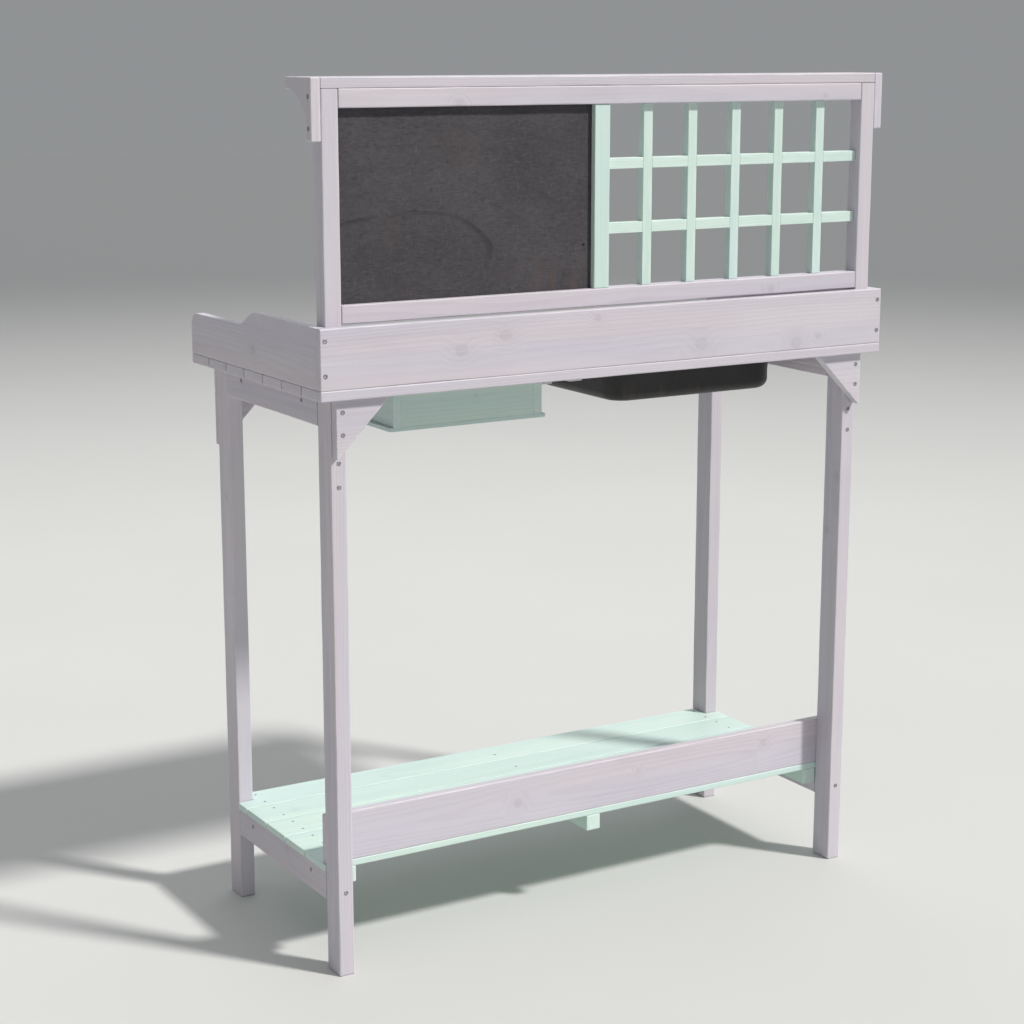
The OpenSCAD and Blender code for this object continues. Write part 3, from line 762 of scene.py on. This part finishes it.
def hanger(node, strip_side, paint, body):
    """A board along Y with a narrow strip along one side, at its lower or higher X."""
    low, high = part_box(node)
    cad = cad_points(node)
    low_x, step_x, high_x = sorted(set(round(c.x, 5) for c in cad))
    wall, strip, far = (low_x, step_x), (step_x, high_x), high_x
    if strip_side < 0:
        wall, strip, far = strip, wall, low_x
    tip = [c for c in cad if abs(c.x - far) < NEAR]
    piece = Piece(node, paint)
    board(piece, Vector((wall[0], low.y, low.z)), Vector((wall[1], high.y, high.z)), Y,
          radius=1.0 * MM)
    board(piece, Vector((strip[0], min(c.y for c in tip), min(c.z for c in tip))),
          Vector((strip[1], max(c.y for c in tip), max(c.z for c in tip))), Y, (),
          radius=1.0 * MM)
    piece.finish(body)


def knob(node):
    """A turned wooden knob on a short neck. Its profile is (radius, distance out) in shares
    of its own radius and length."""
    low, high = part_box(node)
    x, z = (low.x + high.x) / 2, (low.z + high.z) / 2
    r, length = (high.x - low.x) / 2, high.y - low.y
    neck = [(0.45, 0.0), (0.45, 0.04), (0.42, 0.10), (0.40, 0.22), (0.42, 0.34), (0.50, 0.40)]
    head = [(0.72, 0.43), (0.88, 0.48), (0.97, 0.56), (1.0, 0.65), (0.98, 0.74), (0.92, 0.82),
            (0.82, 0.89), (0.68, 0.945), (0.50, 0.98), (0.30, 0.995), (0.12, 1.0)]
    piece = Piece(node, LILAC)
    rings = []
    for radius, out in neck + head:
        wear_and_shade = 0.5 if radius > 0.95 else 0.0
        rings.append([piece.vert(Vector((x + r * radius * math.cos(a), high.y - length * out,
                                         z + r * radius * math.sin(a))), wear_and_shade)
                      for a in around(56)])
    faces = piece.loft(rings)
    piece.grow_wood(sum(rings, []), faces, (low + high) / 2, (X, Z, Y), (), 30 * MM)
    piece.finish("drawer")


timber("drawer_front", X, MINT, "drawer")
timber("drawer_back", X, MINT, "drawer", radius=1.0 * MM)
timber("drawer_bottom", X, MINT, "drawer", radius=0.8 * MM)
hanger("drawer_side_left", -1, MINT, "drawer")
hanger("drawer_side_right", 1, MINT, "drawer")
hanger("drawer_runner_left", 1, LILAC, "bench")
hanger("drawer_runner_right", -1, LILAC, "bench")
knob("drawer_knob")


# ---- Basin ----

def basin(node):
    """A moulded basin: a flat rim with a turned edge, tapered walls and rounded corners."""
    low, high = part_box(node)
    cx, cy = (low.x + high.x) / 2, (low.y + high.y) / 2
    rim_w, rim_d = high.x - low.x, high.y - low.y
    under = max(c.z for c in cad_points(node) if c.z < high.z - 2 * MM)
    rim_t = high.z - under
    flange, wall, taper, corner = 14 * MM, 2.5 * MM, 6 * MM, 36 * MM
    out_w, out_d = rim_w - 2 * flange, rim_d - 2 * flange
    arc_steps, side_points = 8, 6
    piece = Piece(node, PLASTIC)

    def loop(w, d, r, z):
        """One rounded rectangle about the basin's middle, at a height."""
        made = []
        half_w, half_d = w / 2 - r, d / 2 - r
        corners = [(half_w, half_d, 0), (-half_w, half_d, 1), (-half_w, -half_d, 2),
                   (half_w, -half_d, 3)]

        def on_arc(px, py, quarters):
            a = QUARTER * quarters
            return Vector((px + r * math.cos(a), py + r * math.sin(a)))

        for i, (px, py, q) in enumerate(corners):
            arc = [on_arc(px, py, q + k / arc_steps) for k in range(arc_steps + 1)]
            to = on_arc(*corners[(i + 1) % 4])
            made += arc + [arc[-1].lerp(to, (k + 1) / (side_points + 1))
                           for k in range(side_points)]
        return [piece.vert(Vector((cx + p.x, cy + p.y, z))) for p in made]

    def skin(z, depth_in):
        """The wall's width and depth at a height, moved in from its outer face by depth_in."""
        inset = taper * (high.z - z) / (high.z - low.z) + depth_in
        return out_w - 2 * inset, out_d - 2 * inset

    def curl(radius, a):
        """How far a rounded lower edge has risen, and how far in it still is."""
        return radius * (1 - math.cos(a)), radius * (1 - math.sin(a))

    # The underside and the outer wall, with a shallow step below the rim
    loops = []
    turn = [QUARTER * k / 6 for k in range(7)]
    bottom = 14 * MM
    w, d = skin(low.z, bottom)
    for k in (0.25, 0.5, 0.75, 1.0):
        loops.append(loop(w * k, d * k, max((corner - bottom) * k, 2 * MM),
                          low.z + 1.2 * MM * (1 - k)))
    for a in turn[1:]:
        rise, inset = curl(bottom, a)
        loops.append(loop(*skin(low.z + rise, inset), corner - inset, low.z + rise))
    for z in (low.z + 30 * MM, under - 22 * MM):
        loops.append(loop(*skin(z, 1.2 * MM), corner, z))
    for z in (under - 20.5 * MM, under - 3 * MM):
        loops.append(loop(*skin(z, 0.0), corner, z))
    loops.append(loop(*skin(under, -0.8 * MM), corner, under + 0.4 * MM))

    # The rim: its turned outer edge, then its inner edge
    rim_r = corner + flange
    edge = [(inset, under + rim_t * up / 3.0) for inset, up in (
        (2.2, 0.0), (0.7, 0.15), (0.0, 0.8), (0.0, 2.0), (0.35, 2.65), (1.2, 3.0))]
    edge += [(inset, high.z - down * MM) for inset, down in (
        (11.5, 0.0), (13.0, 0.25), (14.7, 1.1), (15.9, 2.6), (16.5, 4.5))]
    for inset, z in edge:
        loops.append(loop(rim_w - 2 * inset * MM, rim_d - 2 * inset * MM, rim_r - inset * MM, z))

    # The inside
    floor_z = low.z + wall
    inner = 16 * MM
    for z in (high.z - 14 * MM, high.z - 30 * MM, floor_z + inner):
        loops.append(loop(*skin(z, wall + 0.5 * MM), corner - wall, z))
    for a in reversed(turn[1:-1]):
        rise, inset = curl(inner, a)
        loops.append(loop(*skin(floor_z + rise, wall + 0.5 * MM + inset), corner - wall - inset,
                          floor_z + rise))
    w, d = skin(floor_z, wall + inner)
    for k, sink in ((1.0, 0.0), (0.93, 0.0), (0.91, 0.6), (0.55, 0.8), (0.25, 1.0)):
        loops.append(loop(w * k, d * k, max((corner - wall - inner) * k, 2 * MM),
                          floor_z + 1.0 * MM - sink * MM))
    piece.loft(loops)
    piece.finish("basin", flatness=60)


basin("basin")


# ---- Screws and nails ----

def unit(axis):
    return Vector([1.0 if k == axis else 0.0 for k in range(3)])


def fastener_frame(low, high, group):
    """Where a fastener's head sits, and the turn that takes +Z out of the wood there."""
    size = high - low
    axis = max(range(3), key=lambda k: size[k])
    middle = (low + high) / 2
    arms = [(p, (p - middle - unit(axis) * (p - middle)[axis]).length) for p in group]
    reach = max(arm for _, arm in arms)
    head = [p[axis] for p, arm in arms if arm > 0.9 * reach]
    sign = 1 if sum(head) / len(head) > middle[axis] else -1
    place = middle.copy()
    place[axis] = high[axis] if sign > 0 else low[axis]
    turn = Vector((0, 0, 1)).rotation_difference(unit(axis) * sign).to_matrix().to_4x4()
    return Matrix.Translation(place) @ turn, reach, size[axis]


def screw(piece, low, high, group):
    """A countersunk screw with a cross recess, a little proud of the wood."""
    at, r, length = fastener_frame(low, high, group)
    spin = piece.rng.uniform(0, QUARTER)
    arm, half, depth = 0.56 * r, 0.13 * r, 0.9 * MM
    cross = [(arm, half), (half, half), (half, arm), (-half, arm), (-half, half), (-arm, half),
             (-arm, -half), (-half, -half), (-half, -arm), (half, -arm), (half, -half),
             (arm, -half)]
    count = len(cross)
    c, s = math.cos(spin), math.sin(spin)
    cross = [Vector((c * a - s * b, s * a + c * b)) for a, b in cross]
    angles = [math.atan2(p.y, p.x) for p in cross]
    for i in range(1, count):
        while angles[i] < angles[i - 1]:
            angles[i] += FULL
    fine = []
    for here, after in zip(angles, angles[1:] + [angles[0] + FULL]):
        fine += [here, (here + after) / 2]

    def put(x, y, z, dirt_and_shade=0.0):
        return piece.vert(at @ Vector((x, y, z)), dirt_and_shade)

    def circle(radius, z, dirt_and_shade=0.0, which=fine):
        return [put(radius * math.cos(a), radius * math.sin(a), z, dirt_and_shade) for a in which]

    # The recess and its lip painted dark: soiling plus painted shade
    recess = [put(p.x * 0.62, p.y * 0.62, -depth, 1.0) for p in cross]
    lip = [put(p.x, p.y, -0.05 * MM, 0.3) for p in cross]
    inner = circle(0.66 * r, -0.05 * MM, 0.0, angles)
    piece.bm.faces.new(recess)
    piece.bridge(recess, lip)
    piece.bridge(lip, inner)
    outer = circle(0.90 * r, -0.10 * MM)
    for i in range(count):
        j = (i + 1) % count
        a, b, after = outer[2 * i], outer[2 * i + 1], outer[(2 * i + 2) % (2 * count)]
        for face in ((inner[i], a, b), (inner[i], b, inner[j]), (inner[j], b, after)):
            piece.bm.faces.new(face)
    shank = 0.5 * r * 0.95
    # A dark ring where the head meets the wood: soiling plus painted shade
    rings = [outer, circle(r, -0.28 * MM), circle(r, -0.42 * MM, 0.6),
             circle(0.62 * r, -1.4 * MM), circle(shank, -3.0 * MM),
             circle(shank, -length + 6 * MM), circle(0.06 * r, -length)]
    for a, b in zip(rings, rings[1:]):
        piece.bridge(a, b)
    piece.bm.faces.new(rings[-1])


def nail(piece, low, high, group):
    """A nail with a flat, slightly domed and tilted head. Rings are (radius, height, dirt)."""
    at, r, length = fastener_frame(low, high, group)
    tilt = piece.rng.uniform(-0.04, 0.04) * MM
    # The third value paints the head dark where it meets the wood: soiling plus painted shade
    rings = [(radius * r, z * MM, dirt_and_shade) for radius, z, dirt_and_shade in (
        (0.35, 0, 0.1), (0.78, -0.05, 0.0), (0.95, -0.14, 0.0), (1.0, -0.28, 0.3),
        (1.0, -0.42, 0.9), (0.5, -1.0, 0.5), (0.44, -2.0, 0.2))]
    rings += [(0.44 * r, -length + 2.5 * MM, 0.0), (0.08 * r, -length, 0.0)]
    made = []
    for radius, z, dirt_and_shade in rings:
        made.append([piece.vert(at @ Vector((radius * math.cos(a), radius * math.sin(a),
                                             min(z + tilt * math.cos(a), 0))), dirt_and_shade)
                     for a in around(18)])
    piece.loft(made)


for node, make in (("screws", screw), ("nails", nail)):
    piece = Piece(node, ZINC)
    for low, high, group in solids(node):
        make(piece, low, high, group)
    piece.finish()


# ---- Floor, light and camera ----

def pale_floor():
    """A wide pale disc that fades into the surroundings, so that no horizon shows."""
    bm = bmesh.new()
    rings = [[bm.verts.new((r * math.cos(a), r * math.sin(a), 0)) for a in around(96)]
             for r in (0.5, 1.5, 3, 6, 12, 24)]
    bm.faces.new(rings[0])
    for a, b in zip(rings, rings[1:]):
        for i in range(len(a)):
            j = (i + 1) % len(a)
            bm.faces.new((a[i], b[i], b[j], a[j]))
    bmesh.ops.recalc_face_normals(bm, faces=bm.faces)
    mesh = bpy.data.meshes.new("floor")
    bm.to_mesh(mesh)
    bm.free()
    disc = bpy.data.objects.new("floor", mesh)
    bpy.context.scene.collection.objects.link(disc)
    s = Shader("floor_pale")
    place = s.place()
    cloud = s.noise(place, (1.3, 1.3, 1.3), 3.0)
    far = s.step(s.length(place), 1.5, 10.0)
    colour = s.mix(cloud, rgb(205, 205, 203), rgb(211, 211, 209))
    colour = s.mix(far, colour, rgb(127, 128, 129))
    mesh.materials.append(s.finish(Base_Color=colour, Roughness=0.85, Specular_IOR_Level=0.15))


def distant_light(name, direction, strength, spread, colour):
    light = bpy.data.lights.new(name, "SUN")
    light.energy = strength
    light.angle = math.radians(spread)
    light.color = colour
    lamp = bpy.data.objects.new(name, light)
    lamp.rotation_euler = Vector(direction).to_track_quat("-Z", "Y").to_euler()
    bpy.context.scene.collection.objects.link(lamp)


pale_floor()
# The key light comes from the same direction as the photo's sun
distant_light("key", (0.428, -0.554, -0.713), 3.20, 6, (1.0, 0.98, 0.95))
distant_light("overhead", (0.0, 0.0, -1.0), 0.40, 70, (0.97, 0.99, 1.0))
distant_light("fill", (0.45, 0.75, -0.5), 0.5, 60, (0.97, 0.98, 1.0))

world = bpy.data.worlds.new("studio")
world.use_nodes = True
sky = world.node_tree.nodes["Background"]
sky.inputs["Color"].default_value = (0.94, 0.97, 1.0, 1.0)
sky.inputs["Strength"].default_value = 0.30
bpy.context.scene.world = world
bpy.context.scene.view_settings.view_transform = "Standard"

# The camera fitted to the photo: its focal length in the photo's pixels, turn and height
PHOTO_PX, FOCAL_PX, SENSOR_MM = 1024.0, 2149.3, 36.0
HEADING, PITCH = math.radians(30.9), math.radians(12.2)
lens = bpy.data.cameras.new("view")
lens.sensor_width = SENSOR_MM
lens.lens = FOCAL_PX * SENSOR_MM / PHOTO_PX
lens.clip_start, lens.clip_end = 0.05, 100.0
camera = bpy.data.objects.new("view", lens)
forward = Vector((-math.sin(HEADING) * math.cos(PITCH), -math.cos(HEADING) * math.cos(PITCH),
                  -math.sin(PITCH)))
camera.location = (1.7539, 2.8400, 1.3287)
camera.rotation_euler = forward.to_track_quat("-Z", "Y").to_euler()
bpy.context.scene.collection.objects.link(camera)
bpy.context.scene.camera = camera
